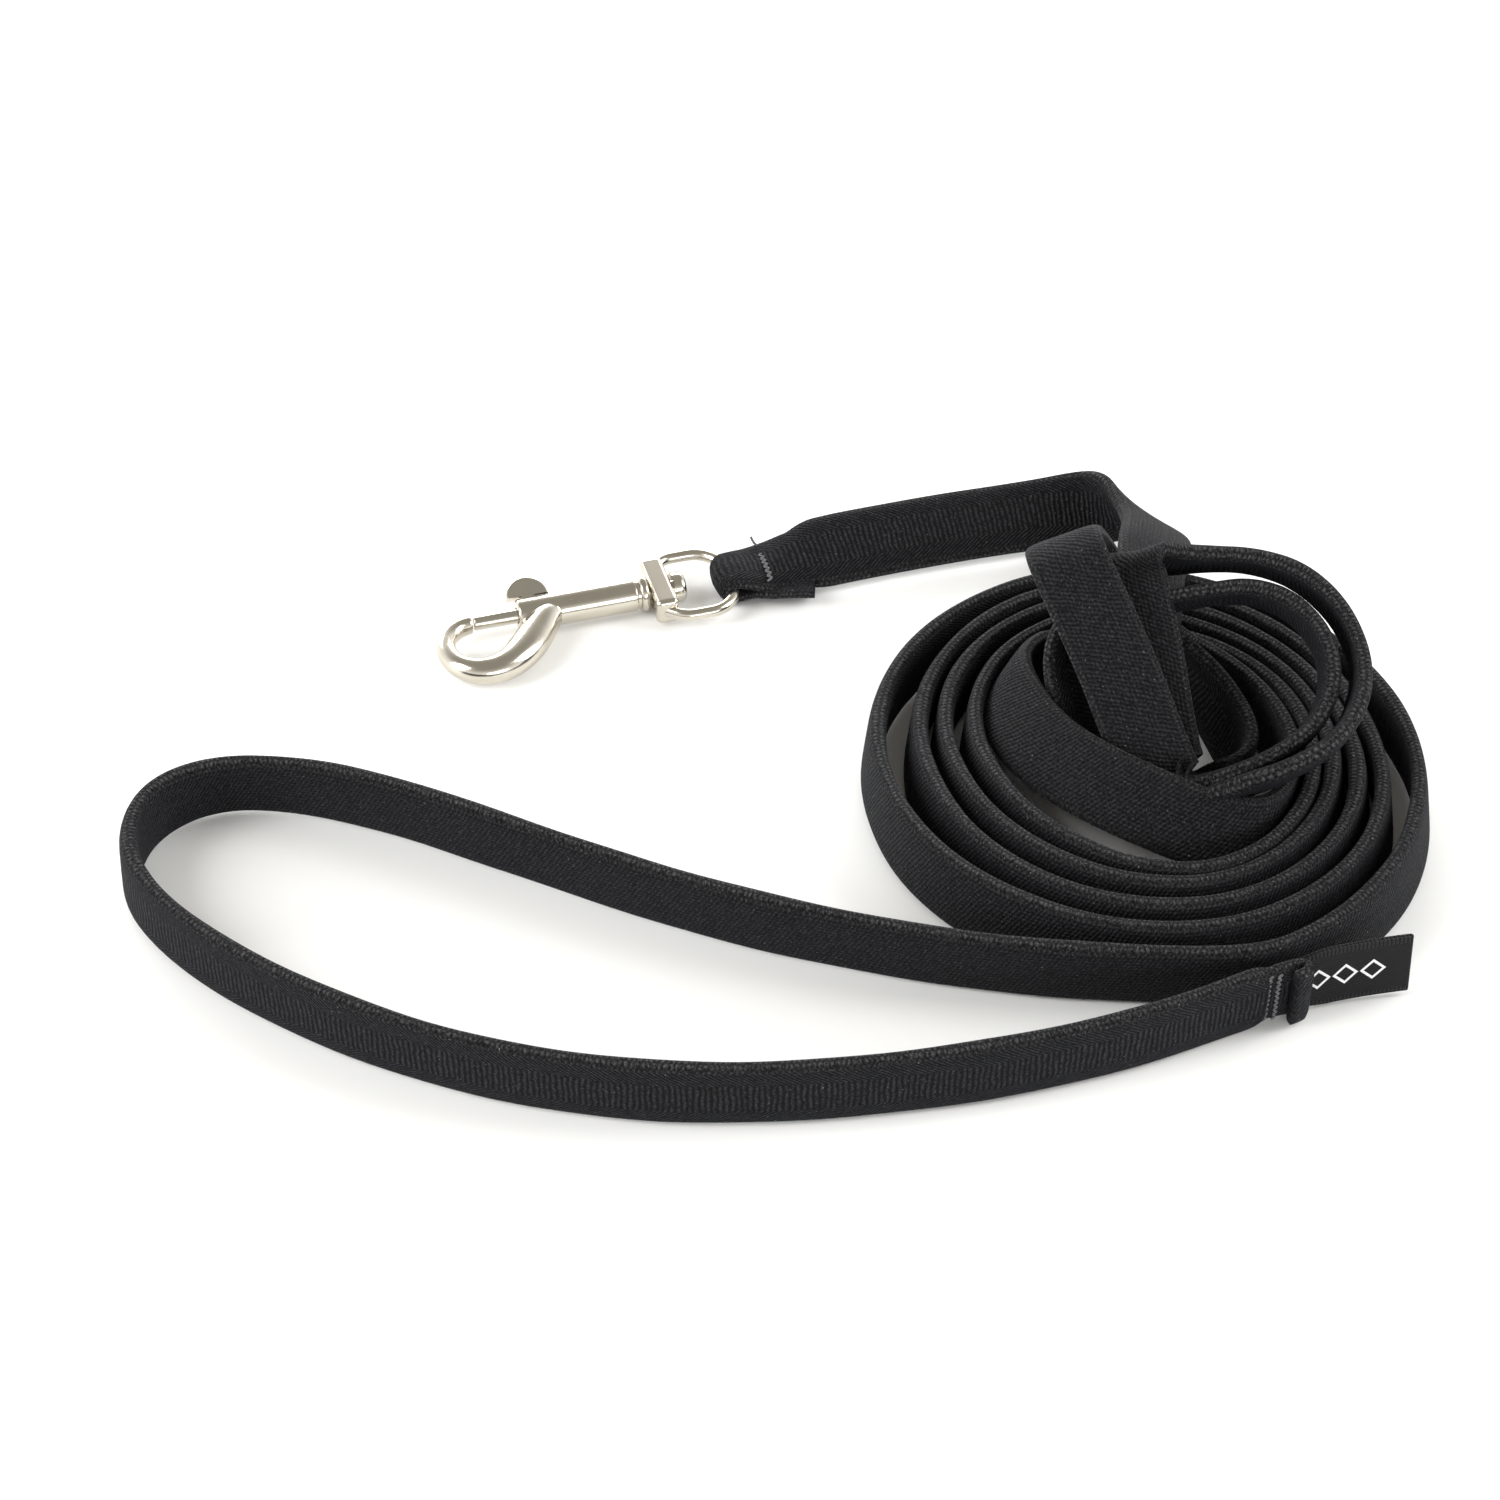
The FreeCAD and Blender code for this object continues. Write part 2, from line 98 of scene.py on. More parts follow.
class Maths:
    """Arithmetic on sockets, so that a pattern reads as a formula."""

    def __init__(self, tree: bpy.types.NodeTree) -> None:
        """Keep the tree that the nodes go into."""
        self.tree = tree

    def __call__(self, operation: str, a: object, b: object = 0.0, c: object = 0.0) -> bpy.types.NodeSocket:
        """One Math node's result."""
        links = {0: a, 1: b, 2: c}
        return add(self.tree, "ShaderNodeMath", links, operation=operation).outputs[0]

    def wave(self, phase: object) -> bpy.types.NodeSocket:
        """A smooth wave from 0 to 1 that repeats each time the phase grows by 1."""
        swing = self("SINE", self("MULTIPLY", phase, 2 * math.pi))
        return self("MULTIPLY_ADD", swing, 0.5, 0.5)

    def step(self, value: object, low: float, high: float) -> bpy.types.NodeSocket:
        """A smooth step from 0 at low to 1 at high."""
        links = {"Value": value, "From Min": low, "From Max": high}
        return add(self.tree, "ShaderNodeMapRange", links, interpolation_type="SMOOTHSTEP").outputs[0]

    def mix(self, share: object, a: object, b: object) -> bpy.types.NodeSocket:
        """A number between a and b."""
        return add(self.tree, "ShaderNodeMix", {0: share, 2: a, 3: b}, data_type="FLOAT").outputs[0]

    def tint(self, share: object, a: object, b: object) -> bpy.types.NodeSocket:
        """A colour between a and b."""
        return add(self.tree, "ShaderNodeMix", {0: share, 6: a, 7: b}, data_type="RGBA").outputs[2]


def new_material(name: str) -> tuple[bpy.types.Material, bpy.types.NodeTree, bpy.types.Node]:
    """A material with only its Principled shader.

    Args:
        name: the material's name.

    Returns:
        The material, its tree and its shader node.
    """
    material = bpy.data.materials.new(name)
    material.use_nodes = True
    tree = material.node_tree
    return material, tree, tree.nodes["Principled BSDF"]


def bumped(tree: bpy.types.NodeTree, shader: bpy.types.Node, height: object, depth_mm: float,
           strength: float) -> None:
    """Let a height pattern bend the surface's light."""
    bump = add(tree, "ShaderNodeBump", {"Height": height, "Distance": depth_mm * MM, "Strength": strength})
    tree.links.new(bump.outputs[0], shader.inputs["Normal"])


# ---------------------------------------------------------------- finishes

@dataclass(frozen=True)
class PolyesterWebbing:
    """Woven polyester webbing, dyed black: one face ribbed, one face twill, with oversewn edges."""

    ground: str = "060607"
    # crown: a dull grey sheen painted on the crowns of the weave
    crown: str = "343437"
    # edge: highlights painted on the tips of the edge loops
    edge: str = "4c4c4d"
    lint: str = "707074"
    # pitches in millimetres; the twill is drawn coarser than the real cloth's, so that it shows
    rib_pitch: float = 1.05
    twill_pitch: float = 0.8
    edge_pitch: float = 1.0
    stitch_length: float = 1.15
    chevron_slope: float = 1.5
    chevron_band: tuple[float, float] = (3.2, 3.7)
    edge_band: tuple[float, float] = (6.2, 6.8)
    roughness: float = 0.78
    specular: float = 0.1
    sheen: float = 0.03
    sheen_roughness: float = 0.5
    sheen_tint: str = "aeb4c4"
    bump_depth: float = 0.32

    def build(self) -> bpy.types.Material:
        """Make the material.

        Returns:
            A soft black cloth with a dull grey sheen painted on the crowns of its weave and painted
            highlights on the tips of its edge loops.
        """
        material, tree, shader = new_material("polyester_webbing")
        calc = Maths(tree)
        place = add(tree, "ShaderNodeAttribute", attribute_name="strap_at").outputs["Vector"]
        split = add(tree, "ShaderNodeSeparateXYZ", {0: place})
        along, across, side = split.outputs
        wobble = add(tree, "ShaderNodeTexNoise", {"Vector": place, "Scale": 0.35, "Detail": 2.0})
        drift = calc("MULTIPLY", wobble.outputs[0], 0.9)
        run = calc("ADD", along, drift)
        fine = {"Vector": place, "Scale": 2.4, "Detail": 4.0, "Roughness": 0.7}
        fibre = add(tree, "ShaderNodeTexNoise", fine)
        away = calc("ABSOLUTE", across)
        # ribbed face: cross ribs in the middle and a herringbone band towards each edge
        ribs = calc.wave(calc("DIVIDE", run, self.rib_pitch))
        slant = calc("ADD", run, calc("MULTIPLY", away, self.chevron_slope))
        chevron = calc.wave(calc("DIVIDE", slant, self.rib_pitch))
        ribbed = calc.mix(calc.step(away, *self.chevron_band), ribs, chevron)
        # twill face: columns along the strap, of short slanting stitches half a stitch off their neighbours
        column = calc("DIVIDE", across, self.twill_pitch)
        length = self.twill_pitch * self.stitch_length
        stitch = calc("ADD", calc("DIVIDE", run, length), calc("MULTIPLY", column, 0.5))
        valley = calc.wave(calc("ADD", column, 0.25))
        twill = calc("MULTIPLY_ADD", calc.wave(stitch), 0.62, calc("MULTIPLY", valley, 0.38))
        face = calc.mix(calc.step(side, -0.25, 0.25), twill, ribbed)
        # knitted edge: rows of small loops that lie half a loop off their neighbours
        row = calc("MULTIPLY", side, 1.5)
        shaken = calc("MULTIPLY_ADD", fibre.outputs[0], 0.9, run)
        half_off = calc("MULTIPLY", calc("FLOOR", row), 0.5)
        knot = calc.wave(calc("ADD", calc("DIVIDE", shaken, self.edge_pitch), half_off))
        rows = calc.wave(calc("SUBTRACT", row, 0.25))
        loops = calc("MULTIPLY", calc("MULTIPLY_ADD", knot, 0.75, 0.25), calc("MULTIPLY_ADD", rows, 0.7, 0.3))
        is_edge = calc.step(away, *self.edge_band)
        weave = calc.mix(is_edge, face, loops)
        height = calc("MULTIPLY_ADD", fibre.outputs[0], 0.8, weave)
        # painted sheen: the weave's crowns are painted lighter, broken up at random by the fibre noise
        painted_crown_sheen = calc("MULTIPLY", weave, calc.step(fibre.outputs[0], 0.36, 0.64))
        cloth = calc.tint(painted_crown_sheen, linear(self.ground), linear(self.crown))
        # painted highlights on the tips of the edge loops, broken up at random by the fibre noise
        painted_tip_highlights = calc("MULTIPLY", loops, calc.step(fibre.outputs[0], 0.4, 0.62))
        bound = calc.tint(calc("MULTIPLY", is_edge, painted_tip_highlights), cloth, linear(self.edge))
        specks = add(tree, "ShaderNodeTexNoise", {"Vector": place, "Scale": 1.9, "Detail": 1.0})
        lint = calc.step(specks.outputs[0], 0.755, 0.775)
        colour = calc.tint(calc("MULTIPLY", lint, 0.8), bound, linear(self.lint))
        tree.links.new(colour, shader.inputs["Base Color"])
        shader.inputs["Roughness"].default_value = self.roughness
        shader.inputs["Specular IOR Level"].default_value = self.specular
        shader.inputs["Sheen Weight"].default_value = self.sheen
        shader.inputs["Sheen Roughness"].default_value = self.sheen_roughness
        shader.inputs["Sheen Tint"].default_value = linear(self.sheen_tint)
        bumped(tree, shader, height, self.bump_depth, 0.9)
        return material


@dataclass(frozen=True)
class PlatedZinc:
    """Die-cast zinc, tumbled and nickel plated: bright and warm, over the slight waves of the casting."""

    name: str
    colour: str = "d6d0c4"
    shade: str = "bdb6a8"
    roughness: float = 0.19
    wave_depth: float = 0.03

    def build(self) -> bpy.types.Material:
        """Make the material.

        Returns:
            A warm silver metal whose reflections ripple a little, with fine tumbling marks.
        """
        material, tree, shader = new_material(self.name)
        calc = Maths(tree)
        place = add(tree, "ShaderNodeTexCoord").outputs["Object"]
        waves = add(tree, "ShaderNodeTexNoise", {"Vector": place, "Scale": 420.0, "Detail": 1.0})
        grit = add(tree, "ShaderNodeTexNoise", {"Vector": place, "Scale": 2600.0, "Detail": 3.0})
        patch = add(tree, "ShaderNodeTexNoise", {"Vector": place, "Scale": 160.0, "Detail": 2.0})
        pits = calc.step(grit.outputs[0], 0.70, 0.78)
        colour = calc.tint(calc("MULTIPLY", patch.outputs[0], 0.7), linear(self.colour), linear(self.shade))
        tree.links.new(colour, shader.inputs["Base Color"])
        rough = calc("MULTIPLY_ADD", grit.outputs[0], 0.10, self.roughness - 0.05)
        tree.links.new(calc("MULTIPLY_ADD", pits, 0.12, rough), shader.inputs["Roughness"])
        shader.inputs["Metallic"].default_value = 1.0
        height = calc("MULTIPLY_ADD", pits, -0.08, waves.outputs[0])
        bumped(tree, shader, height, self.wave_depth, 0.3)
        return material


@dataclass(frozen=True)
class SpunThread:
    """Spun polyester sewing thread: two plies twisted together, matt and greyer than the strap."""

    colour: str = "3a3a3c"
    light: str = "6e6e70"
    ply_pitch: float = 0.5

    def build(self) -> bpy.types.Material:
        """Make the material.

        Returns:
            A dull dark grey thread whose plies show as fine slanting stripes.
        """
        material, tree, shader = new_material("spun_polyester_thread")
        calc = Maths(tree)
        place = add(tree, "ShaderNodeTexCoord").outputs["Object"]
        split = add(tree, "ShaderNodeSeparateXYZ", {0: place})
        total = calc("ADD", calc("ADD", split.outputs[0], split.outputs[1]), split.outputs[2])
        plies = calc.wave(calc("DIVIDE", total, self.ply_pitch * MM))
        tree.links.new(calc.tint(plies, linear(self.colour), linear(self.light)), shader.inputs["Base Color"])
        shader.inputs["Roughness"].default_value = 0.85
        bumped(tree, shader, plies, 0.08, 0.7)
        return material


@dataclass(frozen=True)
class SatinTape:
    """Woven satin label tape, black, with ribbed selvedges and a row of lozenges in pale thread."""

    ground: str = "070708"
    crown: str = "1e1e20"
    pale: str = "dcdcde"
    selvedge: float = 5.6
    motif_pitch: float = 5.2
    motif_half: float = 2.1
    motif_start: float = 6.4
    motif_count: int = 3
    rib_pitch: float = 0.75
    satin_pitch: float = 0.8
    roughness: float = 0.5
    specular: float = 0.14
    bump_depth: float = 0.14

    def build(self) -> bpy.types.Material:
        """Make the material.

        Returns:
            A smooth, slightly glossy black tape with fine cross ribs at its edges.
        """
        material, tree, shader = new_material("woven_satin_tape")
        calc = Maths(tree)
        place = add(tree, "ShaderNodeAttribute", attribute_name="tape_at")
        along, across, front = add(tree, "ShaderNodeSeparateXYZ", {0: place.outputs["Vector"]}).outputs
        ribs = calc("MULTIPLY", calc.wave(calc("DIVIDE", along, self.rib_pitch)), 1.6)
        slant = calc("ADD", along, calc("MULTIPLY", across, 2.0))
        satin = calc.wave(calc("DIVIDE", slant, self.satin_pitch))
        is_edge = calc.step(calc("ABSOLUTE", across), self.selvedge - 0.3, self.selvedge)
        weave = calc.mix(is_edge, calc("MULTIPLY", satin, 0.5), ribs)
        # lozenges: the distance from the nearest middle along the tape, plus the distance across it
        last = self.motif_start + self.motif_pitch * self.motif_count
        turn = calc("FRACT", calc("DIVIDE", calc("SUBTRACT", along, self.motif_start), self.motif_pitch))
        near = calc("MULTIPLY", calc("ABSOLUTE", calc("SUBTRACT", turn, 0.5)), self.motif_pitch)
        reach = calc("ADD", near, calc("ABSOLUTE", across))
        ring = calc("ABSOLUTE", calc("SUBTRACT", reach, self.motif_half))
        line = calc("SUBTRACT", 1.0, calc.step(ring, 0.28, 0.42))
        after = calc("GREATER_THAN", along, self.motif_start)
        inside = calc("MULTIPLY", after, calc("LESS_THAN", along, last))
        motif = calc("MULTIPLY", calc("MULTIPLY", line, inside), calc("GREATER_THAN", front, 0.5))
        cloth = calc.tint(weave, linear(self.ground), linear(self.crown))
        tree.links.new(calc.tint(motif, cloth, linear(self.pale)), shader.inputs["Base Color"])
        shader.inputs["Roughness"].default_value = self.roughness
        shader.inputs["Specular IOR Level"].default_value = self.specular
        bumped(tree, shader, calc("MULTIPLY_ADD", motif, 0.6, weave), self.bump_depth, 0.8)
        return material


# ---------------------------------------------------------------- mesh helpers

def make_object(name: str, points: np.ndarray, faces: list, material: bpy.types.Material) -> bpy.types.Object:
    """A smooth-shaded mesh object from points in millimetres.

    Args:
        name: the object's name.
        points: an array of points, in millimetres.
        faces: lists of point numbers.
        material: what it is made of.

    Returns:
        The new object, in the scene.
    """
    mesh = bpy.data.meshes.new(name)
    mesh.from_pydata((np.asarray(points) * MM).tolist(), [], faces)
    mesh.validate()
    mesh.shade_smooth()
    mesh.materials.append(material)
    item = bpy.data.objects.new(name, mesh)
    bpy.context.scene.collection.objects.link(item)
    return item


def skin(rings: np.ndarray, caps: bool = True) -> tuple[np.ndarray, list]:
    """Faces over a row of rings that all have the same number of points.

    Args:
        rings: an array of rings, points and coordinates.
        caps: whether the two ends are closed.

    Returns:
        The points, and the faces as lists of point numbers.
    """
    count, size = rings.shape[:2]
    faces = []
    for i in range(count - 1):
        for k in range(size):
            n = (k + 1) % size
            faces.append((i * size + k, i * size + n, (i + 1) * size + n, (i + 1) * size + k))
    if caps:
        faces.append(tuple(reversed(range(size))))
        faces.append(tuple(range((count - 1) * size, count * size)))
    return rings.reshape(-1, 3), faces


def facing_out(item: bpy.types.Object) -> None:
    """Turn all faces of a closed mesh outwards."""
    shape = bmesh.new()
    shape.from_mesh(item.data)
    bmesh.ops.recalc_face_normals(shape, faces=shape.faces)
    shape.to_mesh(item.data)
    shape.free()


def nurbs_line(name: str, points: np.ndarray, steps: int) -> np.ndarray:
    """The line of one NURBS spline.

    Args:
        name: a name for the curve.
        points: control points, in millimetres.
        steps: how many points are read for each control point.

    Returns:
        Points along the spline, in millimetres.
    """
    curve = bpy.data.curves.new(name, "CURVE")
    curve.dimensions = "3D"
    curve.resolution_u = steps
    spline = curve.splines.new("NURBS")
    spline.points.add(len(points) - 1)
    for control, point in zip(spline.points, points):
        control.co = (*[float(c) * MM for c in point], 1.0)
    spline.order_u = 3
    spline.use_endpoint_u = True
    holder = bpy.data.objects.new(name, curve)
    bpy.context.scene.collection.objects.link(holder)
    mesh = bpy.data.meshes.new_from_object(holder)
    line = np.array([v.co for v in mesh.vertices], float) / MM
    bpy.data.objects.remove(holder)
    bpy.data.meshes.remove(mesh)
    return line


def lengths(line: np.ndarray) -> np.ndarray:
    """How far along a line each of its points is."""
    return np.concatenate([[0.0], np.cumsum(np.linalg.norm(np.diff(line, axis=0), axis=1))])


def smooth_step(value: np.ndarray, low: float, high: float) -> np.ndarray:
    """A smooth step from 0 at low to 1 at high."""
    share = np.clip((value - low) / (high - low), 0, 1)
    return share * share * (3 - 2 * share)


def between(table: list | np.ndarray, at: float) -> float | np.ndarray:
    """Read a table between its rows, on a smooth curve through them (Catmull-Rom).

    Args:
        table: numbers, or rows of numbers.
        at: which row, with a fraction.

    Returns:
        The number or row there.
    """
    last = len(table) - 1
    i = min(int(at), last - 1)
    part = at - i
    a, b, c, d = (table[min(max(j, 0), last)] for j in (i - 1, i, i + 1, i + 2))
    return 0.5 * (2 * b + (c - a) * part + (2 * a - 5 * b + 4 * c - d) * part ** 2
                  + (3 * b - 3 * c + d - a) * part ** 3)


# ---------------------------------------------------------------- the strap

# Each point of the strap's route: x, y and z of its middle, and how far its upper edge leans along x and y,
# as a share of its width. (0, 0) stands on edge, and (0, 1) lies flat.
SMALL_COIL_LEAN = (-0.18, -0.64)

SNAP_END = [
    (47, -0.2, 2.4, 0, 1), (41.5, 1.6, 2.3, 0, 1), (35, 3.4, 1.8, 0, 1), (31.8, 3.6, 1.35, 0, 1),
    (29.16, 3.6, 1.2, 0, 1), (27.75, 3.6, 2.61, 0, 1), (27.75, 3.6, 4.89, 0, 1), (29.16, 3.6, 6.3, 0, 1),
    (32, 3.6, 6.2, 0, 1), (35, 3.6, 5.5, 0, 1), (38.5, 3.8, 4.9, 0, 0.98),
]
LEAD = [
    (44, 4.0, 5.2, 0, 0.93), (53, 4.6, 5.4, 0, 0.89), (64, 5.0, 5.2, 0, 0.9), (77, 5.0, 5.2, 0, 0.9),
    (90, 4.4, 5.2, 0, 0.9), (99.5, 3.4, 5.6, 0, 0.86), (107, 0.6, 7.4, -0.2, 0.5),
    (111.6, -6.0, 9.4, -0.6, 0.1),
    (112.5, -14.6, 12.6, -0.8, 0), (110.2, -23.1, 17.4, -0.84, 0), (106.5, -31.1, 21.8, -0.86, 0),
    (102.8, -39.1, 23.8, -0.86, 0), (100.2, -47.1, 23.8, -0.8, -0.1), (100.6, -55.1, 21, -0.45, 0),
    (104.2, -63.1, 15, 0, 0), (107, -71.1, 10.4, 0.25, 0), (107.5, -79.6, 9, 0.3, 0),
    (104.5, -87.1, 7.8, 0.3, 0.5), (98, -91, 6.2, 0, 0.84), (90, -89.1, 6.6, -0.3, 0.75),
    (83.5, -82.6, 8.4, -0.5, 0.3), (80, -74.1, 11, -0.65, 0), (79.2, -65.6, 15, -0.75, 0),
    (80.5, -57.1, 20, -0.8, -0.2), (84.5, -52.1, 24.5, -0.65, -0.4),
]
INNER_RING = [
    (90.5, -52.6, 26.8, -0.4, -0.58), (97.5, -57.2, 29.8, *SMALL_COIL_LEAN),
    (105.5, -60.6, 32.8, *SMALL_COIL_LEAN),
    (113.6, -62.6, 33.8, *SMALL_COIL_LEAN), (120.4, -68, 32.8, *SMALL_COIL_LEAN),
    (123.8, -77, 30, *SMALL_COIL_LEAN), (121.8, -86.4, 26.6, *SMALL_COIL_LEAN),
    (115.4, -93.4, 23.2, *SMALL_COIL_LEAN), (106.5, -96, 20.8, *SMALL_COIL_LEAN),
    (98.6, -93.8, 16, *SMALL_COIL_LEAN),
]
INNER_BAND = [
    (92, -90.4, 11.8, 0.35, -0.55), (89.8, -86, 13.6, 0.92, -0.25), (89.8, -79.4, 20, 0.97, -0.17),
    (90.6, -70.4, 27.6, 0.97, -0.2), (91, -62.6, 33, 0.96, -0.24), (91.2, -56, 37.2, 0.93, -0.3),
    (94.4, -52.2, 38, 0.8, -0.45),
]
OUTER_RING = [
    (100.5, -52.6, 36.2, 0.35, -0.6), (108, -54.6, 36.4, *SMALL_COIL_LEAN),
    (116.2, -57.4, 36.4, *SMALL_COIL_LEAN),
    (123.8, -62.8, 35.2, *SMALL_COIL_LEAN), (128.6, -72, 32.4, *SMALL_COIL_LEAN),
    (129, -82.4, 29, *SMALL_COIL_LEAN), (125.2, -91.8, 26.2, *SMALL_COIL_LEAN),
    (118, -98.8, 24.3, *SMALL_COIL_LEAN), (108.4, -101.6, 22.6, *SMALL_COIL_LEAN),
    (100.2, -98.6, 18, *SMALL_COIL_LEAN),
]
OUTER_BAND = [
    (93.2, -95, 12.6, 0.35, -0.55), (88.6, -91.2, 13, 0.92, -0.2), (86.4, -84.8, 19.8, 0.95, -0.05),
    (84.6, -76.4, 27.6, 0.96, -0.02), (83, -68.4, 33.4, 0.96, -0.02), (81.3, -60.6, 38.4, 0.96, -0.02),
    (80, -53.6, 42.6, 0.96, -0.05), (81.4, -46.8, 41, 0.92, -0.2),
]
DOWN_INSIDE = [
    (85.5, -42.6, 34, 0.8, -0.2), (91, -43.2, 23, 0.5, 0), (97.6, -46.4, 12.8, 0.2, 0.1),
    (104.6, -50.6, 8.6, 0, 0.1), (111, -57.6, 7.9, 0, 0), (115.2, -67.6, 7.9, 0, 0),
    (116.6, -79.1, 7.9, 0, 0),
    (115, -89.6, 7.9, 0, 0.05), (109.8, -98.8, 8, -0.05, 0.15),
]
SASH = [
    (102, -104.6, 10, 0.05, 0.3), (92, -103.8, 13.4, 0.25, 0.42), (84, -98.6, 15.8, 0.5, 0.42),
    (77.2, -91.4, 16.6, 0.62, 0.4), (71.8, -83.4, 16.6, 0.66, 0.3), (68.2, -74.6, 16.4, 0.7, 0.25),
    (66.9, -64.6, 15.8, 0.7, 0.15), (68, -54.9, 15, 0.55, -0.05), (73.2, -47.6, 12, 0.3, -0.2),
    (80.2, -43, 9, 0.1, -0.15),
]
HAND_TACK = (90.1, -142.0, 7.8)
HAND_END = [(114, -129.2, 7.8, 0, 0.05), (102, -134.8, 7.8, 0.02, -0.05), (89, -137.6, 7.8, 0.03, -0.1)]
# the hand loop, out behind and back in front, seen from above
LOOP_OUT = [
    (68, -130.5), (45, -121.5), (20, -107.5), (-2, -92), (-20, -76.5), (-36, -61.5), (-50, -49), (-65, -38.6),
    (-81.5, -33),
]
LOOP_END = [(-95.5, -38.2), (-102.2, -52.5), (-98.6, -69)]
LOOP_BACK = [
    (-87.6, -87), (-72, -104.6), (-54, -119.9), (-33, -132), (-10, -140.5), (16, -145.5), (42, -147.5),
    (66, -146.5), (88, -142.4), (93.4, -141.6), (96.6, -142), (96.8, -144.2), (93.8, -144.6),
]


@dataclass
class MainCoil:
    """The loose turns on the floor, by how far they are from the middle in eight directions a turn."""

    centre: tuple[float, float] = (88.0, -79.6)
    reach: list[float] = field(default_factory=lambda: [
        37.6, 34.8, 32.6, 33.4, 35.8, 30.2, 29.8, 36.2,
        42.3, 38.6, 36.2, 37.0, 39.3, 35.8, 35.9, 41.8,
        46.8, 42.6, 39.9, 42.6, 45.0, 42.6, 41.6, 46.2,
        51.0, 47.0, 43.6, 48.1, 51.2, 49.4, 50.2, 53.5,
        55.0, 51.3, 50.9, 54.4])
    steps: int = 2
    height: float = 7.9
    lean_in: float = 0.12
    corner_allowance: float = 1.0077

    def points(self) -> list[tuple[float, ...]]:
        """The route's points round every turn, from the inside out.

        Returns:
            Points as in the strap's route, clockwise from behind the coil.
        """
        last = len(self.reach) - 1
        found = []
        for k in range(1, last * self.steps + 1):
            at = k / self.steps
            reach = between(self.reach, at) * self.corner_allowance
            angle = math.radians(90 - 45 * at)
            x, y = math.cos(angle), math.sin(angle)
            found.append((self.centre[0] + reach * x, self.centre[1] + reach * y, self.height,
                          -self.lean_in * x, -self.lean_in * y))
        return found


@dataclass
class Strap:
    """The one woven strap, from its sewn end at the snap to its sewn end at the hand loop."""

    width: float = 15.0
    thickness: float = 3.4
    gathered: float = 10.6
    pulled: float = 2.3
    spacing: float = 0.9
    section_points: int = 32
    nurbs_steps: int = 20
    coil: MainCoil = field(default_factory=MainCoil)
    hand_tack_thickness: float = 2.7

    def route(self) -> np.ndarray:
        """All points of the route, from the snap to the hand loop's sewn end."""
        loop = [(x, y, 7.8, 0.06, -0.2) for x, y in LOOP_OUT]
        loop += [(x, y, 7.8, 0.0, -0.05) for x, y in LOOP_END]
        loop += [(x, y, 7.8, 0.0, -0.1) for x, y in LOOP_BACK]
        top = INNER_RING + INNER_BAND + OUTER_RING + OUTER_BAND
        return np.array(SNAP_END + LEAD + top + DOWN_INSIDE + SASH + self.coil.points() + HAND_END + loop,
                        float)

    def lines(self) -> tuple[np.ndarray, np.ndarray, np.ndarray, np.ndarray]:
        """Where the strap runs and how it is turned.

        Returns:
            Distance along the strap, its middle, the direction of its upper edge and that of its ribbed face.
        """
        route = self.route()
        middle, lean = route[:, :3], route[:, 3:]
        up = np.sqrt(np.maximum(0.0, 1 - (lean ** 2).sum(axis=1)))
        edge = middle + np.column_stack([lean, up]) * self.width / 2
        raw = nurbs_line("strap_middle", middle, self.nurbs_steps)
        raw_edge = nurbs_line("strap_upper_edge", edge, self.nurbs_steps)
        at = lengths(raw)
        even = np.linspace(0, at[-1], int(at[-1] / self.spacing) + 1)
        line = np.column_stack([np.interp(even, at, raw[:, k]) for k in range(3)])
        upper = np.column_stack([np.interp(even, at, raw_edge[:, k]) for k in range(3)]) - line
        ahead = np.gradient(line, axis=0)
        ahead /= np.linalg.norm(ahead, axis=1)[:, None]
        upper -= (upper * ahead).sum(axis=1)[:, None] * ahead
        upper /= np.linalg.norm(upper, axis=1)[:, None]
        return even, line, upper, np.cross(ahead, upper)

    def section(self) -> np.ndarray:
        """The strap's outline across, with soft corners, in half widths and half thicknesses."""
        angles = np.linspace(0, 2 * math.pi, self.section_points, endpoint=False)
        cosine, sine = np.cos(angles), np.sin(angles)
        across = np.sign(cosine) * np.abs(cosine) ** 0.36
        through = np.sign(sine) * np.abs(sine) ** 0.62
        return np.column_stack([across, through])

    def build(self, webbing: bpy.types.Material) -> bpy.types.Object:
        """Make the strap.

        Args:
            webbing: what it is woven from.

        Returns:
            The strap's object, which carries its own length in its strap_at attribute.
        """
        at, line, upper, ribbed = self.lines()
        tack = at[np.argmin(np.linalg.norm(line - np.array(HAND_TACK), axis=1))]
        open_out = smooth_step(at, 34, 45)
        eased = 0.45 * smooth_step(at, 25, 31) + 0.35 * smooth_step(-at, -13, -8)
        sewn = np.exp(-((at - tack) / 2.2) ** 2)
        rolled = smooth_step(at, tack + 0.5, tack + 3.5)
        half_width = (self.gathered + (self.width - self.gathered) * np.maximum(open_out, eased)) / 2
        half_thick = (self.pulled + (self.thickness - self.pulled) * open_out) / 2
        half_thick -= sewn * (self.thickness - self.hand_tack_thickness) / 2 + 0.55 * rolled
        half_width -= 1.1 * sewn + 0.5 * rolled
        breathe = 0.10 * np.sin(at / 17.0) * np.sin(at / 6.3 + 1.0)
        cupped = 0.9 * (1 - open_out)
        profile = self.section()
        count = len(profile)
        across = profile[None, :, 0] * half_width[:, None]
        bow = (profile[None, :, 0] ** 2) * cupped[:, None]
        through = profile[None, :, 1] * (half_thick * (1 + breathe))[:, None] - bow
        rings = line[:, None] + across[..., None] * upper[:, None] + through[..., None] * ribbed[:, None]
        points, faces = skin(rings)
        strap = make_object("woven_strap", points, faces, webbing)
        where = np.zeros((len(at), count, 3))
        where[..., 0] = at[:, None]
        where[..., 1] = profile[None, :, 0] * self.width / 2
        where[..., 2] = profile[None, :, 1]
        layer = strap.data.attributes.new("strap_at", "FLOAT_VECTOR", "POINT")
        layer.data.foreach_set("vector", where.astype(np.float32).ravel())
        facing_out(strap)
        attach(strap, Motion.STRAP.value)
        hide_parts("snap_loop", "lead_strap", "top_coil", "main_coil", "outer_turn", "hand_loop")
        return strap


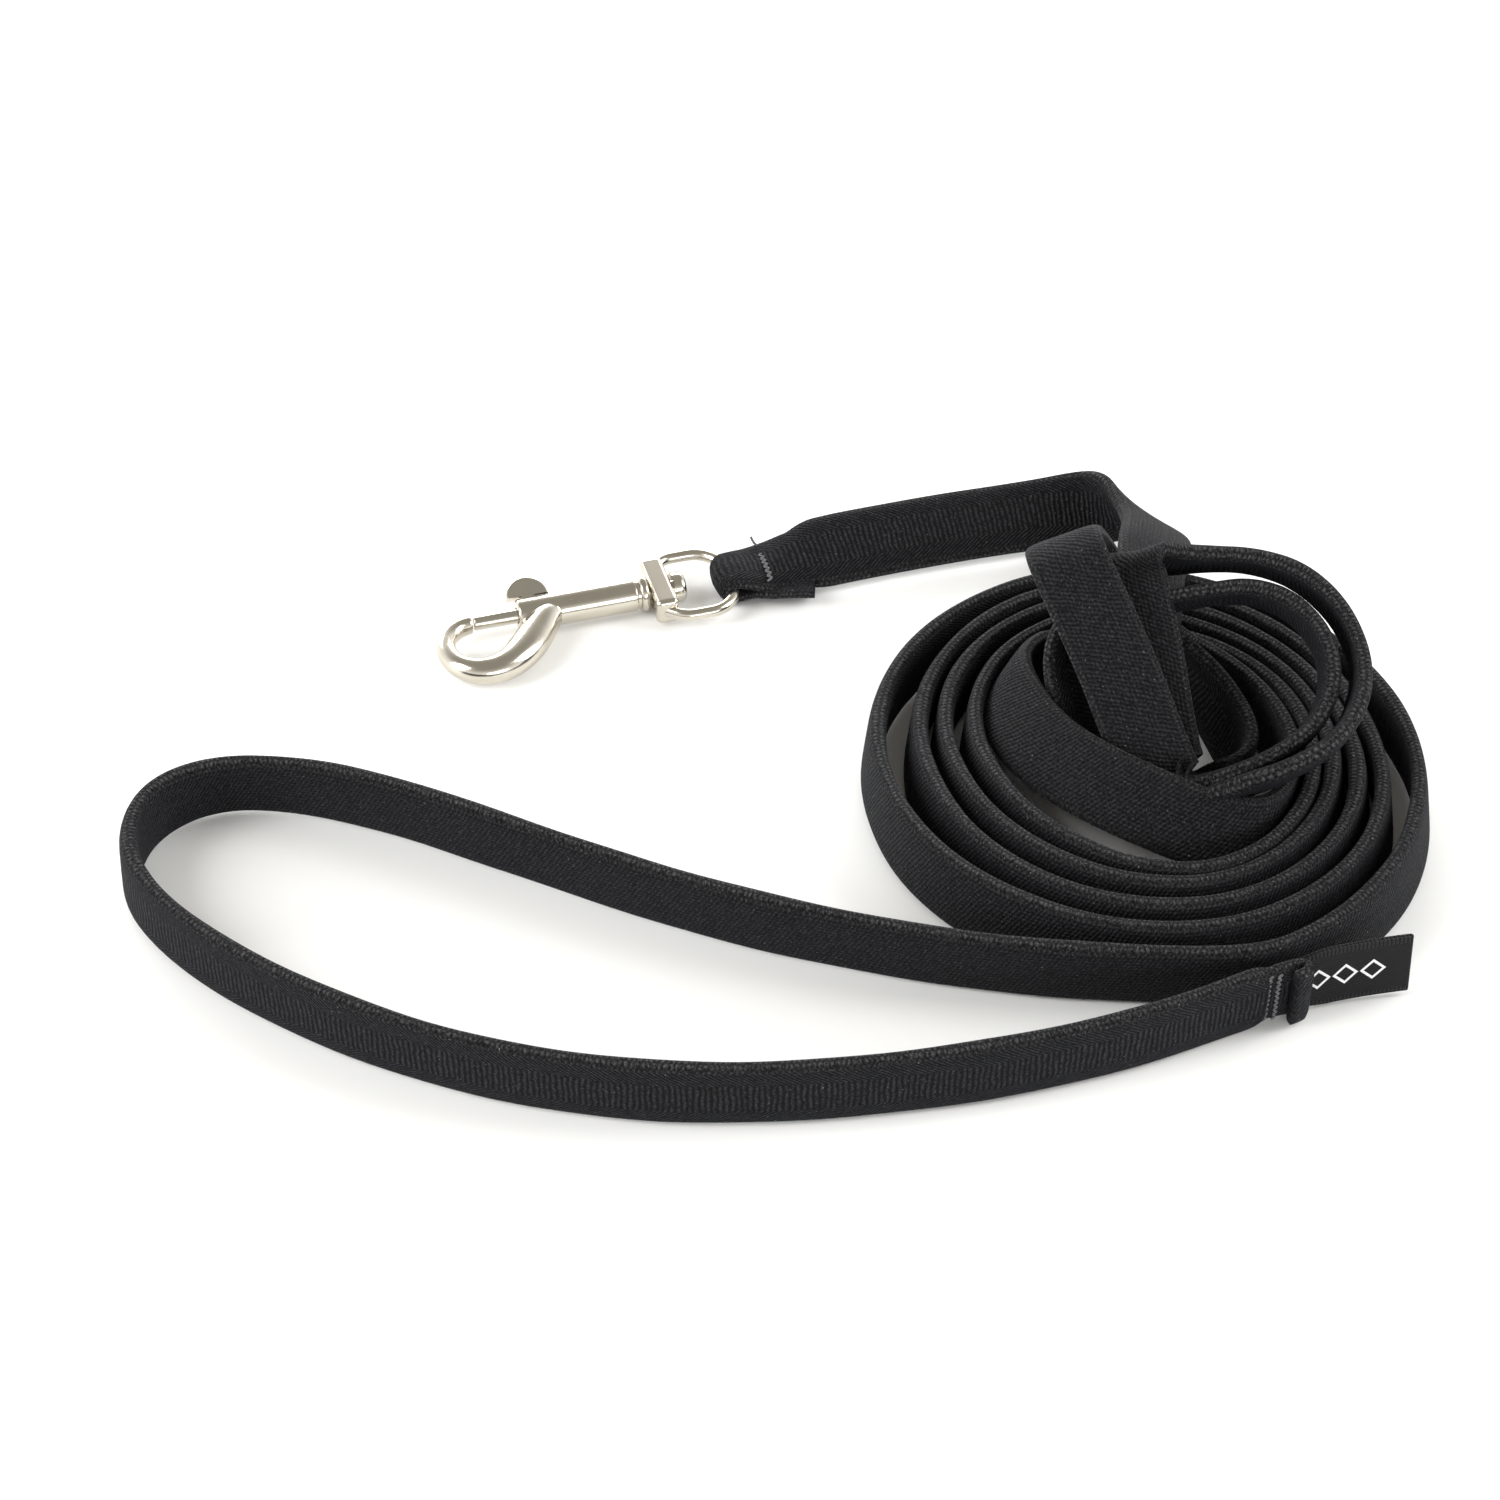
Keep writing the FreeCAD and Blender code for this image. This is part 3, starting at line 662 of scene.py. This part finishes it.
@dataclass
class Thread:
    """Rows of zigzag sewing thread."""

    radius: float = 0.24
    sides: int = 8

    def tube(self, name: str, route: list[tuple[float, ...]], thread: bpy.types.Material) -> bpy.types.Object:
        """One thread along a route.

        Args:
            name: the object's name.
            route: control points, in millimetres.
            thread: what it is spun from.

        Returns:
            The thread's object.
        """
        line = nurbs_line(name, np.array(route, float), 6)
        ahead = np.gradient(line, axis=0)
        ahead /= np.linalg.norm(ahead, axis=1)[:, None]
        side = np.cross(ahead, np.array([0.13, 0.37, 0.92]))
        side /= np.linalg.norm(side, axis=1)[:, None]
        other = np.cross(ahead, side)
        angles = np.linspace(0, 2 * math.pi, self.sides, endpoint=False)
        rings = (line[:, None] + self.radius * (np.cos(angles)[None, :, None] * side[:, None]
                                                + np.sin(angles)[None, :, None] * other[:, None]))
        item = make_object(name, *skin(rings), thread)
        facing_out(item)
        return item


@dataclass
class BarTacks:
    """The zigzag rows that close the strap's two sewn ends."""

    thread: Thread = field(default_factory=Thread)
    snap_x: float = 37.4
    snap_half: float = 5.3
    snap_top: float = 6.35
    zigzag: float = 0.75
    pitch: float = 0.62
    hand_rows: tuple[float, ...] = (89.3, 91.1)
    hand_y: float = -143.55
    hand_middle: float = 7.8
    hand_lean: float = 0.1
    hand_low: float = 1.9
    hand_high: float = 13.7

    def at_snap(self, spun: bpy.types.Material) -> bpy.types.Object:
        """The row across the strap beside the swivel eye, with a cut end standing up.

        Args:
            spun: the thread's material.

        Returns:
            The thread's object.
        """
        centre = 3.6
        count = int(2 * self.snap_half / self.pitch)
        route = []
        for k in range(count + 1):
            y = centre - self.snap_half + k * self.pitch
            crown = 1 - ((y - centre) / self.snap_half) ** 2
            swing = self.zigzag * (1 if k % 2 else -1)
            route.append((self.snap_x + swing, y, self.snap_top - 0.75 * (1 - crown)))
        route += [(self.snap_x - 0.6, centre + self.snap_half + 0.5, self.snap_top + 0.4),
                  (self.snap_x - 0.9, centre + self.snap_half + 0.9, self.snap_top + 1.6)]
        return self.thread.tube("snap_tack_thread", route, spun)

    def at_hand(self, spun: bpy.types.Material) -> list[bpy.types.Object]:
        """The two upright rows through the hand loop's sewn end.

        Args:
            spun: the thread's material.

        Returns:
            One object for each row.
        """
        rows = []
        for number, x in enumerate(self.hand_rows):
            count = int((self.hand_high - self.hand_low) / self.pitch)
            heights = [self.hand_low + k * self.pitch for k in range(count + 1)]
            route = [(x + self.zigzag * 0.7 * (1 if k % 2 else -1),
                      self.hand_y - self.hand_lean * (z - self.hand_middle), z)
                     for k, z in enumerate(heights)]
            rows.append(self.thread.tube("hand_tack_thread_%d" % (number + 1), route, spun))
        return rows

    def build(self, spun: bpy.types.Material) -> None:
        """Make both tacks and dress them."""
        snap = self.at_snap(spun)
        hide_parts("snap_bar_tack")
        rows = self.at_hand(spun)
        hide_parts("hand_bar_tack")
        for item in (snap, *rows):
            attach(item, Motion.STRAP.value)
        LOG.info("bar tacks: %d threads", 1 + len(rows))


@dataclass
class TapeLabel:
    """The folded woven tape that is caught in the hand loop's tack."""

    start: float = 91.0
    length: float = 26.4
    height: float = 13.2
    low: float = 0.5
    layer: float = 0.4
    fold_gap: float = 0.65
    gathered: float = 0.74
    rise: float = 0.035
    middle_y: float = -140.75

    def build(self, tape: bpy.types.Material) -> bpy.types.Object:
        """Make the label.

        Args:
            tape: what it is woven from.

        Returns:
            The label's object, a folded sheet.
        """
        out = np.linspace(0, 1, 40)
        fold = np.linspace(-math.pi / 2, math.pi / 2, 9)[1:-1]
        reach = self.length - self.fold_gap / 2
        front = [(reach * t, -self.fold_gap / 2) for t in out]
        bend = [(reach + self.fold_gap / 2 * math.cos(a), self.fold_gap / 2 * math.sin(a)) for a in fold]
        back = [(reach * t, self.fold_gap / 2) for t in out[::-1]]
        path = np.array(front + bend + back)
        sway = 0.9 * np.sin(path[:, 0] / self.length * math.pi * 0.9) - 0.05 * path[:, 0]
        ahead = np.gradient(path, axis=0)
        ahead /= np.linalg.norm(ahead, axis=1)[:, None]
        normal = np.column_stack([-ahead[:, 1], ahead[:, 0]])
        rows = np.linspace(0, self.height, 15)
        spread = self.gathered + (1 - self.gathered) * smooth_step(path[:, 0], 0.0, 11.0)
        loop = [(k, 1) for k in range(len(rows))] + [(k, -1) for k in reversed(range(len(rows)))]
        rings = np.zeros((len(path), len(loop), 3))
        where = np.zeros((len(path), len(loop), 3))
        for j, (k, side) in enumerate(loop):
            offset = path + normal * (self.layer / 2 * side)
            rings[:, j, 0] = self.start + offset[:, 0]
            rings[:, j, 1] = self.middle_y + offset[:, 1] + sway
            rings[:, j, 2] = (self.low + self.height / 2 + (rows[k] - self.height / 2) * spread
                              + self.rise * path[:, 0])
            where[:, j, 0] = path[:, 0]
            where[:, j, 1] = rows[k] - self.height / 2
            where[:, j, 2] = (path[:, 1] < 0) * (side < 0)
        item = make_object("tape_label", *skin(rings), tape)
        layer = item.data.attributes.new("tape_at", "FLOAT_VECTOR", "POINT")
        layer.data.foreach_set("vector", where.astype(np.float32).ravel())
        facing_out(item)
        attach(item, Motion.STRAP.value)
        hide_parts("woven_label")
        LOG.info("tape label: %.0f by %.0f mm, folded", self.length, self.height)
        return item


# ---------------------------------------------------------------- the snap

@dataclass
class CastHook:
    """The cast hook with its barrel, bored for the bolt and slotted for its thumb knob."""

    axis_y: float = 3.6
    axis_z: float = 3.75
    barrel_front: float = -13.2
    barrel_rear: float = 10.9
    barrel_radius: float = 3.25
    bore_radius: float = 1.62
    chamber_radius: float = 2.2
    collar_end: float = 13.2
    collar_radius: float = 3.65
    groove_radius: float = 2.9
    voxel: float = 0.2
    slot_length: float = 12.1
    slot_width: float = 2.3
    slot_start: float = -11.85
    slot_angle: float = 25.0
    ring_points: int = 40
    steps: int = 8
    # middle x and y, heading in degrees, half width in the hook's plane, half height
    stations: list[tuple[float, ...]] = field(default_factory=lambda: [
        (-22.5, 0.0, 183, 1.85, 1.85), (-25.6, -0.9, 207, 1.95, 2.0), (-28.2, -3.4, 243, 2.0, 2.1),
        (-29.1, -7.2, 270, 2.05, 2.2), (-28.1, -11.2, 299, 2.25, 2.35), (-25.2, -14.0, 333, 2.6, 2.55),
        (-21.2, -14.6, 363, 2.95, 2.75), (-17.2, -13.0, 394, 3.35, 2.95), (-13.8, -9.9, 408, 3.7, 3.1),
        (-10.8, -6.2, 409, 3.6, 3.15), (-7.6, -2.4, 402, 2.9, 3.1), (-5.2, -0.4, 390, 2.2, 2.4)])

    def bend(self) -> tuple[np.ndarray, list]:
        """The hook's bend as a row of oval rings that flow into each other."""
        table = np.array(self.stations)
        rings = []
        for k in range((len(table) - 1) * self.steps + 1):
            x, y, heading, wide, tall = between(table, k / self.steps)
            turn = math.radians(heading)
            across = np.array([-math.sin(turn), math.cos(turn), 0.0])
            angles = np.linspace(0, 2 * math.pi, self.ring_points, endpoint=False)
            ring = (np.array([x, y, 0.0]) + np.cos(angles)[:, None] * wide * across
                    + np.sin(angles)[:, None] * np.array([0, 0, tall]))
            rings.append(ring)
        return skin(np.array(rings))

    def turned(self, profile: list[tuple[float, float]], caps: bool = True) -> tuple[np.ndarray, list]:
        """A round shape about the snap's axis.

        Args:
            profile: places along the axis, with the radius at each.
            caps: whether its ends are closed.

        Returns:
            Its points and faces.
        """
        angles = np.linspace(0, 2 * math.pi, 64, endpoint=False)
        rings = [np.column_stack([np.full(64, x), r * np.cos(angles), r * np.sin(angles)])
                 for x, r in profile]
        return skin(np.array(rings), caps)

    def seat(self, item: bpy.types.Object) -> bpy.types.Object:
        """Move a piece that was made about the snap's own axis to where that axis is."""
        item.data.transform(Matrix.Translation(Vector((0, self.axis_y, self.axis_z)) * MM))
        return item

    def apply(self, item: bpy.types.Object) -> None:
        """Replace an object's mesh by what its modifiers make of it."""
        graph = bpy.context.evaluated_depsgraph_get()
        made = bpy.data.meshes.new_from_object(item.evaluated_get(graph))
        item.modifiers.clear()
        item.data = made

    def build(self, plating: bpy.types.Material) -> None:
        """Make the casting and its rolled rear collar.

        Args:
            plating: the finish of both.
        """
        nose = 0.45
        barrel = self.turned([(self.barrel_front, self.barrel_radius - nose),
                              (self.barrel_front + 0.15, self.barrel_radius - 0.15),
                              (self.barrel_front + nose, self.barrel_radius),
                              (self.barrel_rear, self.barrel_radius)])
        bend = self.bend()
        offset = len(bend[0])
        points = np.vstack([bend[0], barrel[0]])
        faces = bend[1] + [tuple(v + offset for v in face) for face in barrel[1]]
        body = make_object("hook_casting", points, faces, plating)
        facing_out(body)
        remesh = body.modifiers.new("cast_together", "REMESH")
        remesh.mode = "VOXEL"
        remesh.voxel_size = self.voxel * MM
        flow = body.modifiers.new("flow", "SMOOTH")
        flow.factor = 0.5
        flow.iterations = 8
        self.apply(body)
        cutters = [
            make_object("bore", *self.turned([(self.barrel_front - 2, self.bore_radius),
                                              (0, self.bore_radius)]), plating),
            make_object("chamber", *self.turned([(self.barrel_front + 1, self.chamber_radius),
                                                 (self.barrel_rear + 2, self.chamber_radius)]), plating),
            self.slot_cutter(plating),
        ]
        for cutter in cutters:
            facing_out(cutter)
            cut = body.modifiers.new("cut", "BOOLEAN")
            cut.operation = "DIFFERENCE"
            cut.object = cutter
            cut.solver = "EXACT"
            self.apply(body)
            bpy.data.objects.remove(cutter)
        body.data.shade_smooth()
        body.data.set_sharp_from_angle(angle=math.radians(38))
        collar = make_object("rolled_collar", *self.turned(self.collar_profile()), plating)
        facing_out(collar)
        collar.data.set_sharp_from_angle(angle=math.radians(50))
        for item in (body, collar):
            self.seat(item)
            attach(item, Motion.SNAP.value)
        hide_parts("hook_body")
        LOG.info("hook casting: %d faces", len(body.data.polygons))

    def slot_cutter(self, plating: bpy.types.Material) -> bpy.types.Object:
        """A round-ended cutter for the thumb knob's slot."""
        radius = self.slot_width / 2
        ends = [(self.slot_start + radius, math.pi / 2),
                (self.slot_start + self.slot_length - radius, -math.pi / 2)]
        outline = [(x + radius * math.cos(start + turn), radius * math.sin(start + turn))
                   for x, start in ends for turn in np.linspace(0, math.pi, 13)]
        rings = np.array([[(x, depth, z) for x, z in outline] for depth in (0.2, self.barrel_radius + 3)])
        item = make_object("slot", *skin(rings), plating)
        item.data.transform(Matrix.Rotation(math.radians(self.slot_angle), 4, "X"))
        return item

    def collar_profile(self) -> list[tuple[float, float]]:
        """The groove behind the barrel and the rolled bead that closes it."""
        start = self.barrel_rear - 0.25
        bead_start = self.barrel_rear + 0.65
        middle = (bead_start + self.collar_end) / 2
        half = (self.collar_end - bead_start) / 2
        rounds = [(middle - half * math.cos(a), self.groove_radius + (self.collar_radius - self.groove_radius)
                   * math.sin(a) ** 0.6) for a in np.linspace(0.0, math.pi, 17)]
        return [(start, 0.2), (start, self.barrel_radius - 0.5), (start + 0.3, self.groove_radius),
                (bead_start - 0.05, self.groove_radius), *rounds, (self.collar_end, 0.2)]


def dress_metal(plating: bpy.types.Material, bright: bpy.types.Material) -> None:
    """Give the metal pieces that keep their CAD shape their finish.

    Args:
        plating: for the castings.
        bright: for the turned and stamped pieces.
    """
    for name, material in (("swivel_eye", plating), ("swivel_stud", bright), ("bolt", bright),
                           ("thumb_knob", bright), ("return_spring", bright)):
        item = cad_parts[name]
        item.data.materials.clear()
        item.data.materials.append(material)
        LOG.info("%s: %s", name, material.name)


# ---------------------------------------------------------------- studio

@dataclass
class Studio:
    """A pale floor, soft light from above and behind, and the camera."""

    camera_at: tuple[float, float, float] = (-187.0, -769.1, 656.1)
    looks_at: tuple[float, float, float] = (21.0, -43.6, 0.0)
    lens: float = 124.8
    sensor: float = 36.0
    floor_half: float = 2500.0
    floor_colour: str = "f3f3f2"
    low_sky: str = "fafafa"
    high_sky: str = "8f8d86"
    sky_strength: float = 1.4
    lamps_face: tuple[float, float, float] = (40, -60, 10)

    def floor(self) -> None:
        """A wide pale floor with a faint unevenness in its sheen."""
        half = self.floor_half
        corners = np.array([(-half, -half, 0), (half, -half, 0), (half, half, 0), (-half, half, 0)], float)
        material, tree, shader = new_material("matt_paper")
        place = add(tree, "ShaderNodeTexCoord").outputs["Object"]
        grain = add(tree, "ShaderNodeTexNoise", {"Vector": place, "Scale": 60.0, "Detail": 2.0})
        calc = Maths(tree)
        tree.links.new(calc("MULTIPLY_ADD", grain.outputs[0], 0.08, 0.56), shader.inputs["Roughness"])
        shader.inputs["Base Color"].default_value = linear(self.floor_colour)
        shader.inputs["Specular IOR Level"].default_value = 0.25
        make_object("studio_floor", corners, [(0, 1, 2, 3)], material)

    def lamp(self, name: str, at: tuple[float, ...], size: tuple[float, float], power: float) -> None:
        """A soft panel that faces the leash.

        Args:
            name: the lamp's name.
            at: its place, in millimetres.
            size: its width and depth, in millimetres.
            power: its power in watts.
        """
        light = bpy.data.lights.new(name, "AREA")
        light.shape = "RECTANGLE"
        light.size, light.size_y = size[0] * MM, size[1] * MM
        light.energy = power
        item = bpy.data.objects.new(name, light)
        item.location = Vector(at) * MM
        aim = Vector(self.lamps_face) * MM - item.location
        item.rotation_euler = aim.to_track_quat("-Z", "Y").to_euler()
        bpy.context.scene.collection.objects.link(item)

    def camera(self) -> None:
        """The camera, level and without depth of field."""
        data = bpy.data.cameras.new("camera")
        data.lens, data.sensor_width = self.lens, self.sensor
        data.clip_start, data.clip_end = 0.05, 20.0
        item = bpy.data.objects.new("camera", data)
        item.location = Vector(self.camera_at) * MM
        aim = Vector(self.looks_at) - Vector(self.camera_at)
        item.rotation_euler = aim.to_track_quat("-Z", "Y").to_euler()
        bpy.context.scene.collection.objects.link(item)
        bpy.context.scene.camera = item

    def build(self) -> None:
        """Set up the light and the floor."""
        self.floor()
        self.lamp("back_panel", (60, 1050, 380), (1500, 300), 16)
        self.lamp("left_panel", (-950, -100, 640), (500, 900), 12)
        self.lamp("right_panel", (1000, -250, 600), (500, 800), 10)
        self.lamp("front_fill", (250, -1250, 420), (900, 260), 5)
        world = bpy.data.worlds.new("studio")
        world.use_nodes = True
        tree = world.node_tree
        calc = Maths(tree)
        way = add(tree, "ShaderNodeTexCoord").outputs["Generated"]
        height = add(tree, "ShaderNodeSeparateXYZ", {0: way}).outputs[2]
        tone = calc.tint(calc.step(height, 0.15, 0.85), linear(self.low_sky), linear(self.high_sky))
        back = tree.nodes["Background"]
        tree.links.new(tone, back.inputs[0])
        back.inputs[1].default_value = self.sky_strength
        bpy.context.scene.world = world
        bpy.context.scene.view_settings.view_transform = "Standard"


def main() -> None:
    """Build the leash piece by piece."""
    studio = Studio()
    studio.camera()
    Strap().build(PolyesterWebbing().build())
    spun = SpunThread().build()
    BarTacks().build(spun)
    TapeLabel().build(SatinTape().build())
    plating = PlatedZinc("nickel_plated_die_casting").build()
    bright = PlatedZinc("nickel_plated_steel", colour="dcd7cd", shade="c4beb2", roughness=0.16,
                        wave_depth=0.02).build()
    CastHook().build(plating)
    dress_metal(plating, bright)
    studio.build()


if __name__ == "__main__":
    main()
